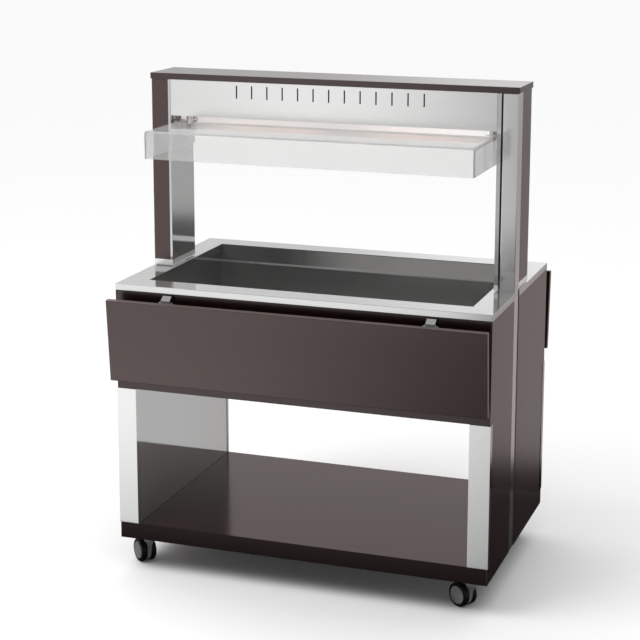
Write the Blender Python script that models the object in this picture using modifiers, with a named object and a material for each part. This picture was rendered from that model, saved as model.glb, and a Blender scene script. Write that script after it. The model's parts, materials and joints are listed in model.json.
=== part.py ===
"""Heated food service trolley: a wheeled buffet counter with a sunken well for food pans,
a gantry with heat lamps and a clear hood over it, a storage shelf below, and a folding
shelf hanging on each long side.

Units are metres. +Z is up, +X is to the right, and the serving front faces -Y. The origin
is on the floor under the middle of the trolley. The trolley is the same when it is turned
half way round, apart from its hood, its well fittings and its controls, so each side wall
and each folding shelf is built once, in the right-hand or the front place, and turned.
"""
import math

import bpy
import bmesh
from mathutils import Matrix, Vector

# Driving sizes of the body
WIDTH = 1.120
DEPTH = 0.692
FLOOR_TO_BASE = 0.100
BASE_THICKNESS = 0.049
BOX_BOTTOM = 0.562
WORKTOP_TOP = 0.874
WORKTOP_RIM = 0.0185
GANTRY_TOP = 1.458
BOARD = 0.018
GAP = 0.0003
SHEET = 0.0012
PLATE = 0.002

HALF_WIDTH = WIDTH / 2
HALF_DEPTH = DEPTH / 2
BASE_TOP = FLOOR_TO_BASE + BASE_THICKNESS
RIM_BOTTOM = WORKTOP_TOP - WORKTOP_RIM
PANEL_TOP = RIM_BOTTOM - GAP

# Side walls
SKIN_OUTER = 0.559
SKIN_INNER = 0.555
LEG_INNER = 0.5025
LEG_OUTER = 0.5605
FRAME_TOP = 0.853

# Uprights, gantry and hood
POST_X = (0.5135, 0.5575)
POST_Y = (-0.083, -0.030)
UPRIGHT_HALF_DEPTH = 0.083
UPRIGHT_OUTER = 0.5565
COVER_X = (0.4970, 0.5045)
COVER_RETURN = 0.5085
PLINTH_X = (0.4995, 0.5535)
PLINTH_Y = (-0.024, 0.078)
COVER_BOTTOM = WORKTOP_TOP + 0.003
BOARD_BOTTOM = 0.8945
GANTRY_BOTTOM = GANTRY_TOP - BOARD
UPRIGHT_TOP = GANTRY_BOTTOM - GAP
GANTRY_HALF_DEPTH = 0.084
FASCIA_Y = -0.0828
FASCIA_BOTTOM = 1.333
FASCIA_HALF_WIDTH = 0.4963
SLOT_COUNT = 13
SLOT_PITCH = 0.0475
SLOT_WIDTH = 0.0041
SLOT_Z = (1.3915, 1.4290)
LAMP_LENGTH = 0.380
LAMP_X = 0.235
LAMP_Z = 1.358
REFLECTOR_TOP = 1.4350
HOOD_HALF_WIDTH = 0.487
HOOD_FRONT = -0.290
HOOD_BACK = 0.062
HOOD_Z = (1.233, 1.313)
HOOD_WALL = 0.005
HOOD_RADIUS = 0.0065
HOOD_SCREW_X = 0.467
HOOD_SCREW_YS = (-0.012, 0.032)

# Well
WELL_HALF = (0.486, 0.272)
LEDGE_Z = 0.820
LEDGE_WIDTH = 0.014
WELL_FLOOR = 0.650
WELL_WALL = 0.0015
DRAIN = (0.380, 0.170)
DRAIN_OPENING = 0.032
DRAIN_OUTLET = 0.500
VALVE_Z = 0.530

# Folding shelves
SHELF_TILT = math.radians(4.7)
SHELF_HINGE = (-0.363, 0.8297)
SHELF_OUTER = 0.0443
SHELF_ABOVE = 0.011
SHELF_BELOW = 0.232
SHELF_HALF_WIDTH = 0.561
CONSOLE_X = 0.392
CONSOLE_HALF_WIDTH = 0.0135

# Controls, in the left side wall
CONTROL_Y = (-0.235, -0.065)
CONTROL_Z = (0.705, 0.790)
CONTROL_DEPTH = 0.0255
KNOB_Y = -0.110
SWITCH_Y = -0.190
CONTROL_MIDDLE = sum(CONTROL_Z) / 2
GLAND = (-0.520, 0.150)

# Casters
CASTER_X = 0.498
CASTER_Y = 0.282
CASTER_TRAIL = 0.033
CASTER_SWIVEL = {"right": math.radians(58), "left": math.radians(50)}
WHEEL_RADIUS = 0.0354
WHEEL_X = (0.0068, 0.0232)


def start_scene():
    """Empty the scene and make the two collections."""
    for old in list(bpy.data.objects):
        bpy.data.objects.remove(old)
    collections = []
    for name in ("food_service_trolley", "cutters"):
        collection = bpy.data.collections.new(name)
        bpy.context.scene.collection.children.link(collection)
        collections.append(collection)
    return collections


PARTS, CUTTERS = start_scene()


def material(name, colour, roughness, metallic=0.0, transmission=0.0):
    """A Principled BSDF material."""
    made = bpy.data.materials.new(name)
    made.use_nodes = True
    shader = made.node_tree.nodes["Principled BSDF"]
    shader.inputs["Base Color"].default_value = (*colour, 1.0)
    shader.inputs["Roughness"].default_value = roughness
    shader.inputs["Metallic"].default_value = metallic
    shader.inputs["Transmission Weight"].default_value = transmission
    return made


LAMINATE = material("dark_wood_laminate", (0.060, 0.042, 0.038), 0.30)
STEEL = material("brushed_steel", (0.62, 0.62, 0.61), 0.24, metallic=1.0)
MIRROR_STEEL = material("polished_steel", (0.72, 0.72, 0.71), 0.08, metallic=1.0)
BRACKET_STEEL = material("zinc_plated_steel", (0.50, 0.50, 0.50), 0.35, metallic=1.0)
ACRYLIC = material("clear_acrylic", (0.95, 0.96, 0.96), 0.03, transmission=1.0)
QUARTZ = material("heat_lamp_quartz", (0.95, 0.80, 0.72), 0.15)
SILICONE = material("heater_silicone", (0.45, 0.12, 0.06), 0.60)
BLACK_PLASTIC = material("black_plastic", (0.02, 0.02, 0.02), 0.40)
GREY_PLASTIC = material("grey_caster_plastic", (0.16, 0.16, 0.16), 0.45)
TYRE = material("black_caster_tyre", (0.015, 0.015, 0.015), 0.55)


# ---------------------------------------------------------------- building blocks

def move_to(piece, collection):
    """Keep the object in one collection only."""
    for old in list(piece.users_collection):
        old.objects.unlink(piece)
    collection.objects.link(piece)


def finish(piece, name, look, parent):
    """Name an object, give it its material and hang it on its parent."""
    piece.name = name
    piece.data.name = name
    if look is None:
        move_to(piece, CUTTERS)
        piece.hide_render = True
        piece.display_type = "WIRE"
    else:
        move_to(piece, PARTS)
        piece.data.materials.append(look)
    piece.parent = parent
    return piece


def empty(name, place=(0, 0, 0), turn=(0, 0, 0), parent=None):
    """An axis or a side to hang pieces on."""
    made = bpy.data.objects.new(name, None)
    made.location = place
    made.rotation_euler = turn
    made.parent = parent
    PARTS.objects.link(made)
    return made


def bevel(piece, width, segments=2):
    """Round the sharp edges."""
    rounding = piece.modifiers.new("edges", "BEVEL")
    rounding.width = width
    rounding.segments = segments
    rounding.limit_method = "ANGLE"


def box(name, x, y, z, look=None, parent=None, edge=0.0):
    """A box between two limits on each axis."""
    size = [high - low for low, high in (x, y, z)]
    bpy.ops.mesh.primitive_cube_add(size=1, location=[sum(limits) / 2 for limits in (x, y, z)])
    piece = bpy.context.object
    piece.data.transform(Matrix.Diagonal((*size, 1)))
    if edge:
        bevel(piece, edge)
    return finish(piece, name, look, parent)


def rounded_box(name, x, y, z, radius, is_rounded, look=None, parent=None):
    """A box with a round on each edge whose middle passes the test is_rounded(middle)."""
    mesh = bpy.data.meshes.new(name)
    shape = bmesh.new()
    bmesh.ops.create_cube(shape, size=1)
    size = Matrix.Diagonal([high - low for low, high in (x, y, z)] + [1])
    middle = Vector([sum(limits) / 2 for limits in (x, y, z)])
    bmesh.ops.transform(shape, matrix=Matrix.Translation(middle) @ size, verts=shape.verts)
    edges = [edge for edge in shape.edges if is_rounded((edge.verts[0].co + edge.verts[1].co) / 2)]
    bmesh.ops.bevel(shape, geom=edges, offset=radius, segments=5, profile=0.5, affect="EDGES")
    shape.to_mesh(mesh)
    shape.free()
    piece = bpy.data.objects.new(name, mesh)
    PARTS.objects.link(piece)
    return finish(piece, name, look, parent)


def cylinder(name, centre, axis, radius, length, look=None, parent=None, sides=32):
    """A round bar along X, Y or Z."""
    turn = {"X": (0, math.pi / 2, 0), "Y": (math.pi / 2, 0, 0), "Z": (0, 0, 0)}[axis]
    bpy.ops.mesh.primitive_cylinder_add(vertices=sides, radius=radius, depth=length,
                                        location=centre, rotation=turn)
    piece = bpy.context.object
    shade_round(piece)
    return finish(piece, name, look, parent)


def shade_round(piece):
    """Smooth the round faces and keep the sharp edges."""
    piece.data.shade_smooth()
    piece.data.set_sharp_from_angle(angle=math.radians(35))


def prism(name, outline, axis, low, high, look=None, parent=None):
    """An outline across an axis, drawn out along it: in (y, z) along X or (x, y) along Z."""
    curve = bpy.data.curves.new(name, "CURVE")
    curve.dimensions = "2D"
    curve.fill_mode = "BOTH"
    curve.extrude = (high - low) / 2
    spline = curve.splines.new("POLY")
    spline.points.add(len(outline) - 1)
    for point, (across, along) in zip(spline.points, outline):
        point.co = (across, along, 0, 1)
    spline.use_cyclic_u = True
    drawn = bpy.data.objects.new(name + "_outline", curve)
    PARTS.objects.link(drawn)
    # The columns say where the outline's two directions and its thickness point.
    frames = {"X": ((0, 0, 1), (1, 0, 0), (0, 1, 0)),
              "Z": ((1, 0, 0), (0, 1, 0), (0, 0, 1))}
    turn = Matrix(frames[axis]).to_4x4()
    middle = Matrix.Translation((0, 0, (high + low) / 2))
    bpy.context.view_layer.update()
    mesh = bpy.data.meshes.new_from_object(drawn.evaluated_get(bpy.context.evaluated_depsgraph_get()))
    bpy.data.objects.remove(drawn)
    shape = bmesh.new()
    shape.from_mesh(mesh)
    bmesh.ops.remove_doubles(shape, verts=shape.verts, dist=1e-6)
    bmesh.ops.transform(shape, matrix=turn @ middle, verts=shape.verts)
    bmesh.ops.recalc_face_normals(shape, faces=shape.faces)
    shape.to_mesh(mesh)
    shape.free()
    piece = bpy.data.objects.new(name, mesh)
    PARTS.objects.link(piece)
    return finish(piece, name, look, parent)


def turned(name, profile, look=None, parent=None, place=(0, 0, 0), turn=(0, 0, 0), steps=40):
    """A profile of (radius, height) points, from the top down the outside, spun about Z."""
    mesh = bpy.data.meshes.new(name)
    shape = bmesh.new()
    corners = [shape.verts.new((radius, 0, height)) for radius, height in profile]
    for first, second in zip(corners, corners[1:]):
        shape.edges.new((first, second))
    shape.to_mesh(mesh)
    shape.free()
    piece = bpy.data.objects.new(name, mesh)
    piece.location = place
    piece.rotation_euler = turn
    PARTS.objects.link(piece)
    spin = piece.modifiers.new("spin", "SCREW")
    spin.steps = steps
    spin.render_steps = steps
    spin.use_merge_vertices = True
    spin.merge_threshold = 0.00001
    return finish(piece, name, look, parent)


def combine(piece, operation, tools):
    """Boolean each tool with the piece, and put the tool with the cutters."""
    for tool in tools:
        if tool.name not in CUTTERS.objects:
            move_to(tool, CUTTERS)
            tool.hide_render = True
            tool.display_type = "WIRE"
        change = piece.modifiers.new(operation.lower(), "BOOLEAN")
        change.operation = operation
        change.object = tool
    return piece


def cut(piece, *tools):
    """Take the tools' shapes out of the piece."""
    return combine(piece, "DIFFERENCE", tools)


def fuse(piece, *tools):
    """Join the tools' shapes to the piece, as one solid."""
    return combine(piece, "UNION", tools)


# ---------------------------------------------------------------- body

def post_notch(name, side, z):
    """The gap that a side post passes through."""
    return box(name, (POST_X[0] - GAP, 0.600), (POST_Y[0] - GAP, POST_Y[1] + GAP), z, parent=side)


def base_shelf(sides):
    """The thick bottom board, which the legs stand on and which carries the casters."""
    shelf = box("base_shelf", (-SKIN_INNER + GAP, SKIN_INNER - GAP), (-HALF_DEPTH, HALF_DEPTH),
                (FLOOR_TO_BASE, BASE_TOP), LAMINATE, edge=0.0008)
    for label, side in sides.items():
        cut(shelf, post_notch("base_notch_" + label, side, (0.05, 0.20)))
    cut(shelf, cylinder("cable_hole", (*GLAND, 0.125), "Z", 0.0060, 0.10, sides=20))


def box_panel(name, parent):
    """The board across one long side of the upper box."""
    box(name, (-SKIN_INNER + GAP, SKIN_INNER - GAP), (-HALF_DEPTH, -HALF_DEPTH + BOARD),
        (BOX_BOTTOM, PANEL_TOP), LAMINATE, parent, edge=0.0008)


def cabinet_floor():
    """The sheet that closes the upper box from below, with a square opening for the drain."""
    depth = HALF_DEPTH - BOARD - GAP
    floor = box("cabinet_floor", (-LEG_INNER + GAP, LEG_INNER - GAP), (-depth, depth),
                (BOX_BOTTOM, BOX_BOTTOM + PLATE), LAMINATE)
    opening = [(middle - DRAIN_OPENING, middle + DRAIN_OPENING) for middle in DRAIN]
    cut(floor, box("floor_opening", *opening, (BOX_BOTTOM - 0.01, BOX_BOTTOM + 0.01)))


def side_panel(name, y, parent):
    """A thin laminate panel on the outside of a side wall."""
    return box(name, (SKIN_INNER, SKIN_OUTER), y, (FLOOR_TO_BASE, PANEL_TOP), LAMINATE, parent,
               edge=0.0006)


def leg_facing(name, facing, parent):
    """The bright folded sheet that wraps a leg's end: facing is -1 in front and 1 behind."""
    outer_y = facing * (HALF_DEPTH + 0.0017)
    web_y = outer_y - facing * SHEET
    outer_return = facing * (HALF_DEPTH - 0.022)
    inner_return = facing * (HALF_DEPTH - 0.010)
    inner = LEG_INNER - 0.0015
    outline = [(inner, inner_return), (inner, outer_y), (LEG_OUTER, outer_y),
               (LEG_OUTER, outer_return), (LEG_OUTER - SHEET, outer_return), (LEG_OUTER - SHEET, web_y),
               (inner + SHEET, web_y), (inner + SHEET, inner_return)]
    prism(name, outline, "Z", BASE_TOP + GAP, BOX_BOTTOM - GAP, MIRROR_STEEL, parent)


def side_frame(name, parent):
    """The polished inner wall of a leg, which carries on up inside the box."""
    low_depth = HALF_DEPTH + 0.0002
    high_depth = HALF_DEPTH - BOARD - GAP
    step = BOX_BOTTOM - GAP
    outline = [(-low_depth, BASE_TOP + GAP), (low_depth, BASE_TOP + GAP), (low_depth, step),
               (high_depth, step), (high_depth, FRAME_TOP), (-high_depth, FRAME_TOP),
               (-high_depth, step), (-low_depth, step)]
    prism(name, outline, "X", LEG_INNER, LEG_INNER + PLATE, MIRROR_STEEL, parent)


def worktop(sides):
    """The stainless top: a pan turned upside down, with the well's opening."""
    top = box("worktop", (-HALF_WIDTH, HALF_WIDTH), (-HALF_DEPTH, HALF_DEPTH),
              (RIM_BOTTOM, WORKTOP_TOP), MIRROR_STEEL, edge=0.0009)
    inside = box("worktop_hollow", (-HALF_WIDTH + PLATE, HALF_WIDTH - PLATE),
                 (-HALF_DEPTH + PLATE, HALF_DEPTH - PLATE), (RIM_BOTTOM - 0.01, WORKTOP_TOP - PLATE))
    opening = box("worktop_opening", (-WELL_HALF[0], WELL_HALF[0]), (-WELL_HALF[1], WELL_HALF[1]),
                  (RIM_BOTTOM - 0.02, WORKTOP_TOP + 0.01))
    cut(top, inside, opening)
    for label, side in sides.items():
        cut(top, post_notch("worktop_notch_" + label, side, (0.84, 0.89)))


# ---------------------------------------------------------------- well

def centred(half, grow=0.0):
    """Limits of a rectangle about the middle, grown by the same amount all round."""
    return [(-size - grow, size + grow) for size in half]


def well():
    """The pan that hangs in the worktop: a water basin with a ledge for food pans on each long side."""
    flange_top = WORKTOP_TOP - PLATE - GAP
    basin_half = (WELL_HALF[0], WELL_HALF[1] - LEDGE_WIDTH)
    pan = box("well", *centred(WELL_HALF, 0.013), (flange_top - WELL_WALL, flange_top), MIRROR_STEEL)
    recess = box("well_recess", *centred(WELL_HALF, WELL_WALL), (LEDGE_Z - WELL_WALL, flange_top - 0.0005))
    basin = box("well_basin", *centred(basin_half, WELL_WALL), (WELL_FLOOR - WELL_WALL, LEDGE_Z - 0.0005))
    fuse(pan, recess, basin)
    cut(pan,
        box("recess_space", *centred(WELL_HALF), (LEDGE_Z, flange_top + 0.01)),
        box("basin_space", *centred(basin_half), (WELL_FLOOR, LEDGE_Z + 0.01)),
        cylinder("drain_hole", (*DRAIN, WELL_FLOOR), "Z", 0.0135, 0.02))


def heater_mat():
    """The silicone heating mat under the basin."""
    top = WELL_FLOOR - WELL_WALL - GAP
    mat = box("heater_mat", (-0.420, 0.420), (-0.210, 0.210), (top - 0.006, top), SILICONE, edge=0.001)
    cut(mat, cylinder("mat_hole", (*DRAIN, top), "Z", 0.027, 0.03))


def drain():
    """The outlet pipe with its ball valve, and the lever on the valve's stem."""
    top = WELL_FLOOR - WELL_WALL - GAP
    bore, wall, valve, collar = 0.0135, 0.0165, 0.022, 0.025
    profile = [(bore, top), (collar, top), (collar, top - 0.004), (wall, top - 0.004),
               (wall, VALVE_Z + 0.018), (valve, VALVE_Z + 0.018), (valve, VALVE_Z - 0.018),
               (wall, VALVE_Z - 0.018), (wall, DRAIN_OUTLET), (bore, DRAIN_OUTLET), (bore, top)]
    pipe = turned("drain_pipe", profile, STEEL, place=(*DRAIN, 0), steps=24)
    fuse(pipe, cylinder("valve_stem", (DRAIN[0], DRAIN[1] + 0.0275, VALVE_Z), "Y", 0.007, 0.015))
    axis = empty("drain_lever_axis", (DRAIN[0], DRAIN[1] + 0.0353, VALVE_Z))
    lever = box("drain_lever", (-0.010, 0.078), (0, 0.004), (-0.008, 0.008), BRACKET_STEEL, axis,
                edge=0.0015)
    fuse(lever, cylinder("lever_nut", (0, 0.005, 0), "Y", 0.006, 0.006, parent=axis, sides=6))


# ---------------------------------------------------------------- uprights and gantry

def post(name, parent):
    """The square steel tube from the base to the gantry."""
    tube = box(name, POST_X, POST_Y, (FLOOR_TO_BASE, UPRIGHT_TOP), STEEL, parent, edge=0.0015)
    hollow = [(low + PLATE, high - PLATE) for low, high in (POST_X, POST_Y)]
    cut(tube, box(name + "_hollow", *hollow, (0.05, 1.50), parent=parent))


def upright_board(name, parent):
    """The thick laminate board beside the post."""
    box(name, (COVER_X[1] + GAP, UPRIGHT_OUTER), (POST_Y[1] + GAP, UPRIGHT_HALF_DEPTH),
        (BOARD_BOTTOM, UPRIGHT_TOP), LAMINATE, parent, edge=0.0008)


def inner_cover(name, parent):
    """The steel cover on the upright's inner face, with the foot that the board stands on."""
    depth = (-UPRIGHT_HALF_DEPTH, UPRIGHT_HALF_DEPTH)
    cover = box(name, COVER_X, depth, (COVER_BOTTOM, UPRIGHT_TOP), STEEL, parent, edge=0.0006)
    return_x = (COVER_X[1] - 0.0005, COVER_RETURN)
    board_y = (POST_Y[1] + GAP, UPRIGHT_HALF_DEPTH)
    foot_x = (COVER_X[1] - 0.0005, UPRIGHT_OUTER)
    fuse(cover,
         box(name + "_return", return_x, (-UPRIGHT_HALF_DEPTH, -0.070), (COVER_BOTTOM, UPRIGHT_TOP),
             parent=parent),
         box(name + "_foot", foot_x, board_y, (COVER_BOTTOM, BOARD_BOTTOM - GAP), parent=parent),
         box(name + "_plinth", PLINTH_X, PLINTH_Y, (WORKTOP_TOP + GAP, COVER_BOTTOM + 0.0005),
             parent=parent))


def gantry_board():
    """The laminate board on top of everything."""
    box("gantry_board", (-HALF_WIDTH, HALF_WIDTH), (-GANTRY_HALF_DEPTH, GANTRY_HALF_DEPTH),
        (GANTRY_BOTTOM, GANTRY_TOP), LAMINATE, edge=0.0008)


def fascia(name, parent):
    """A folded steel sheet across the gantry, with a row of upright vent slots."""
    inner = FASCIA_Y + SHEET
    lip = FASCIA_Y + 0.022
    outline = [(lip, FASCIA_BOTTOM), (FASCIA_Y, FASCIA_BOTTOM), (FASCIA_Y, UPRIGHT_TOP),
               (lip, UPRIGHT_TOP), (lip, UPRIGHT_TOP - SHEET), (inner, UPRIGHT_TOP - SHEET),
               (inner, FASCIA_BOTTOM + SHEET), (lip, FASCIA_BOTTOM + SHEET)]
    sheet = prism(name, outline, "X", -FASCIA_HALF_WIDTH, FASCIA_HALF_WIDTH, STEEL, parent)
    for index in range(SLOT_COUNT):
        middle = (index - (SLOT_COUNT - 1) / 2) * SLOT_PITCH
        cut(sheet, box(f"{name}_slot_{index + 1}", (middle - SLOT_WIDTH / 2, middle + SLOT_WIDTH / 2),
                       (FASCIA_Y - 0.005, FASCIA_Y + 0.005), SLOT_Z, parent=parent))


def lamp_reflector():
    """The folded reflector that lies on the two fascias' lips."""
    low = FASCIA_BOTTOM + SHEET + GAP
    high = REFLECTOR_TOP - SHEET
    flange, foot, crown = 0.078, 0.0500, 0.0300
    lean = 0.0008
    half = [(flange, low + SHEET), (foot + lean, low + SHEET), (crown + lean, high + SHEET)]
    under = [(crown, high), (foot, low), (flange, low)]
    right = half + [(-y, z) for y, z in reversed(half)]
    left = [(-y, z) for y, z in reversed(under)] + under
    prism("lamp_reflector", right + left, "X", -0.490, 0.490, MIRROR_STEEL)


def heat_lamp(name, middle):
    """A quartz tube between two end holders that hang from the reflector."""
    tube = cylinder(name, (middle, 0, LAMP_Z), "X", 0.006, LAMP_LENGTH, QUARTZ, sides=20)
    hanger = (LAMP_Z, REFLECTOR_TOP - SHEET - GAP)
    for end in (-1, 1):
        x = middle + end * (LAMP_LENGTH / 2 - 0.008)
        fuse(tube,
             box(f"{name}_holder_{end}", (x - 0.011, x + 0.011), (-0.009, 0.009),
                 (LAMP_Z - 0.009, LAMP_Z + 0.009)),
             cylinder(f"{name}_hanger_{end}", (x, 0, sum(hanger) / 2), "Z", 0.003,
                      hanger[1] - hanger[0], sides=12))


def hood():
    """The clear acrylic hood: a top plate with a front apron and two side aprons."""
    x = (-HOOD_HALF_WIDTH, HOOD_HALF_WIDTH)

    def in_front_or_on_top(middle, front, top, side):
        """True on the two upright front edges and on the top plate's front and side edges."""
        is_front = middle.y < front + 1e-4
        is_top = middle.z > top - 1e-4
        is_side = abs(middle.x) > side - 1e-4
        return is_front and (is_top or is_side) or (is_top and is_side)

    shell = rounded_box("hood", x, (HOOD_FRONT, HOOD_BACK), HOOD_Z, HOOD_RADIUS,
                        lambda m: in_front_or_on_top(m, HOOD_FRONT, HOOD_Z[1], HOOD_HALF_WIDTH),
                        ACRYLIC)
    inner_x = HOOD_HALF_WIDTH - HOOD_WALL
    inner_front = HOOD_FRONT + HOOD_WALL
    inner_top = HOOD_Z[1] - HOOD_WALL
    space = rounded_box("hood_space", (-inner_x, inner_x), (inner_front, HOOD_BACK + 0.05),
                        (HOOD_Z[0] - 0.05, inner_top), HOOD_RADIUS - HOOD_WALL,
                        lambda m: in_front_or_on_top(m, inner_front, inner_top, inner_x))
    cut(shell, space)
    for side in (-1, 1):
        for index, y in enumerate(HOOD_SCREW_YS):
            cut(shell, cylinder(f"hood_hole_{side}_{index}", (side * HOOD_SCREW_X, y, HOOD_Z[1]),
                                "Z", 0.0035, 0.03, sides=20))


def hood_bracket(name, side):
    """An angle on the upright's inner face, with two thumb screws through the hood's plate."""
    low = HOOD_Z[1] + GAP
    wall, tip = side * (COVER_X[0] - GAP), side * 0.453
    leg = box(name, sorted((wall, wall - side * 0.0018)), (-0.032, 0.048), (low, low + 0.020), STEEL)
    arm = box(name + "_arm", sorted((wall, tip)), (-0.032, 0.048), (low, low + 0.0018))
    fuse(leg, arm)
    for index, y in enumerate(HOOD_SCREW_YS):
        at = (side * HOOD_SCREW_X, y)
        fuse(leg,
             cylinder(f"{name}_screw_{index}", (*at, low - 0.007), "Z", 0.003, 0.020, sides=20),
             cylinder(f"{name}_knob_{index}", (*at, low + 0.0062), "Z", 0.0085, 0.0100, sides=24),
             cylinder(f"{name}_nut_{index}", (*at, low - 0.0102), "Z", 0.0065, 0.0080, sides=6))


# ---------------------------------------------------------------- folding shelves

def console(name, x, parent):
    """The folded bracket on the box that carries one end of a folding shelf's hinge."""
    y, z = SHELF_HINGE
    back = -HALF_DEPTH - GAP
    inner_back = back - PLATE
    cheek = [(back, 0.770), (back, 0.8500), (-0.3545, 0.8515), (-0.3700, 0.8400), (-0.3735, 0.8320),
             (-0.3720, 0.8230), (-0.3640, 0.8170), (inner_back, 0.800), (inner_back, 0.770)]
    hollow = [(inner_back, 0.760), (inner_back, 0.8480), (-0.3540, 0.8493), (-0.3687, 0.8387),
              (-0.3717, 0.8315), (-0.3800, 0.8300), (-0.3800, 0.760)]
    half = CONSOLE_HALF_WIDTH
    piece = prism(name, cheek, "X", x - half, x + half, BRACKET_STEEL, parent)
    cut(piece,
        prism(name + "_hollow", hollow, "X", x - half + PLATE, x + half - PLATE, parent=parent),
        cylinder(name + "_bore", (x, y, z), "X", 0.0035, 0.05, parent=parent, sides=20))


def shelf_arm(name, x, hinge):
    """The folded arm screwed to a folding shelf, with the pin it turns on."""
    face = -SHELF_OUTER + BOARD + GAP
    inner, outer = CONSOLE_HALF_WIDTH + 0.0006, CONSOLE_HALF_WIDTH + 0.0026
    cheek = [(face + 0.0005, -0.018), (face + 0.0005, -0.080), (face + 0.0055, -0.080),
             (0.0085, -0.006), (0.0085, 0.005), (0.004, 0.009), (-0.004, 0.009)]
    arm = box(name, (x - 0.018, x + 0.018), (face, face + PLATE), (-0.130, -0.016), BRACKET_STEEL, hinge)
    for end, (low, high) in (("left", (-outer, -inner)), ("right", (inner, outer))):
        fuse(arm, prism(f"{name}_cheek_{end}", cheek, "X", x + low, x + high, parent=hinge))
    fuse(arm, cylinder(name + "_pin", (x, 0, 0), "X", 0.003, 0.042, parent=hinge, sides=20))
    for end in (-1, 1):
        fuse(arm, cylinder(f"{name}_pin_head_{end}", (x + end * 0.0195, 0, 0), "X", 0.005, 0.004,
                           parent=hinge, sides=20))


def folding_shelf(label, side):
    """One folding shelf with its two arms and its two consoles."""
    hinge = empty(label + "_shelf_axis", (0, *SHELF_HINGE), (SHELF_TILT, 0, 0), side)
    box(label + "_shelf", (-SHELF_HALF_WIDTH, SHELF_HALF_WIDTH), (-SHELF_OUTER, -SHELF_OUTER + BOARD),
        (-SHELF_BELOW, SHELF_ABOVE), LAMINATE, hinge, edge=0.0012)
    for end, x in (("a", -CONSOLE_X), ("b", CONSOLE_X)):
        console(f"{label}_console_{end}", x, side)
        shelf_arm(f"{label}_arm_{end}", x, hinge)


# ---------------------------------------------------------------- controls

def control_box(wall):
    """The sunken steel tray for the knob and the switch, in the left wall's front panel."""
    lip = [(low - 0.009, high + 0.009) for low, high in (CONTROL_Y, CONTROL_Z)]
    outer = -SKIN_OUTER - GAP
    floor = -SKIN_OUTER + CONTROL_DEPTH
    tray = box("control_box", (outer - 0.0010, outer), *lip, STEEL, edge=0.0004)
    fuse(tray, box("control_tray", (outer - 0.0005, floor), CONTROL_Y, CONTROL_Z))
    inside = [(low + SHEET, high - SHEET) for low, high in (CONTROL_Y, CONTROL_Z)]
    cut(tray,
        box("control_space", (outer - 0.02, floor - SHEET), *inside),
        cylinder("knob_hole", (floor, KNOB_Y, CONTROL_MIDDLE), "X", 0.0045, 0.02, sides=20),
        box("switch_hole", (floor - 0.01, floor + 0.01), (SWITCH_Y - 0.0145, SWITCH_Y + 0.0145),
            (CONTROL_MIDDLE - 0.0105, CONTROL_MIDDLE + 0.0105)))
    opening = [(low - GAP, high + GAP) for low, high in (CONTROL_Y, CONTROL_Z)]
    cut(wall, box("control_opening", (-0.60, -0.54), *opening))


def thermostat_knob():
    """The ribbed knob of the thermostat, with its shaft through the tray."""
    floor = -SKIN_OUTER + CONTROL_DEPTH
    axis = empty("thermostat_knob_axis", (floor - SHEET - 0.0005, KNOB_Y, CONTROL_MIDDLE),
                 (0, -math.pi / 2, 0))
    profile = [(0, 0.0185), (0.0150, 0.0185), (0.0165, 0.0170), (0.0180, 0.0060), (0.0205, 0.0040),
               (0.0210, 0), (0.0040, 0), (0.0040, -0.0150), (0, -0.0150)]
    knob = turned("thermostat_knob", profile, BLACK_PLASTIC, axis, steps=36)
    fuse(knob, box("knob_pointer", (0.002, 0.0185), (-0.0016, 0.0016), (0.005, 0.0195), parent=axis))


def rocker_switch():
    """The mains rocker, which tips about a pin through its middle."""
    floor = -SKIN_OUTER + CONTROL_DEPTH
    axis = empty("rocker_switch_axis", (floor - SHEET, SWITCH_Y, CONTROL_MIDDLE))
    outline = [(-0.0050, -0.0125), (-0.0010, -0.0132), (0.0060, -0.0120), (0.0060, 0.0120),
               (-0.0010, 0.0132), (-0.0030, 0.0)]
    prism("rocker_switch", outline, "Z", -0.0090, 0.0090, BLACK_PLASTIC, axis)


def cable_gland():
    """The gland under the base that the mains cable leaves through."""
    top = FLOOR_TO_BASE - GAP
    profile = [(0.0050, top), (0.0140, top), (0.0140, top - 0.0060), (0.0115, top - 0.0070),
               (0.0115, top - 0.0150), (0.0080, top - 0.0220), (0.0050, top - 0.0220), (0.0050, top)]
    turned("cable_gland", profile, BLACK_PLASTIC, place=(*GLAND, 0), steps=24)


# ---------------------------------------------------------------- casters

def caster_mount(name, x, y):
    """The plate screwed under the base, with the boss of the swivel."""
    plate = box(name, (x - 0.030, x + 0.030), (y - 0.030, y + 0.030),
                (FLOOR_TO_BASE - GAP - 0.003, FLOOR_TO_BASE - GAP), BRACKET_STEEL, edge=0.0008)
    fuse(plate, cylinder(name + "_boss", (x, y, 0.0930), "Z", 0.0190, 0.0100))


def caster_body(name, swivel):
    """The swivelling body: a neck, and a round core between the two wheels."""
    neck = cylinder(name, (0, 0, 0.0800), "Z", 0.0165, 0.0150, GREY_PLASTIC, swivel, sides=32)
    crown = [(-0.0160, 0.0730), (-0.0160, 0.0840), (0.0100, 0.0850), (0.0400, 0.0800),
             (0.0560, 0.0690), (0.0630, 0.0480), (0.0500, 0.0150), (0.0200, 0.0120),
             (0.0040, 0.0200), (-0.0002, 0.0340), (-0.0030, 0.0520), (-0.0110, 0.0650)]
    fuse(neck,
         prism(name + "_crown", crown, "X", -0.0056, 0.0056, parent=swivel),
         cylinder(name + "_core", (0, CASTER_TRAIL, WHEEL_RADIUS), "X", 0.0330, 0.0112, parent=swivel))
    cut(neck, cylinder(name + "_bore", (0, CASTER_TRAIL, WHEEL_RADIUS), "X", 0.0045, 0.05,
                       parent=swivel, sides=24))


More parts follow.
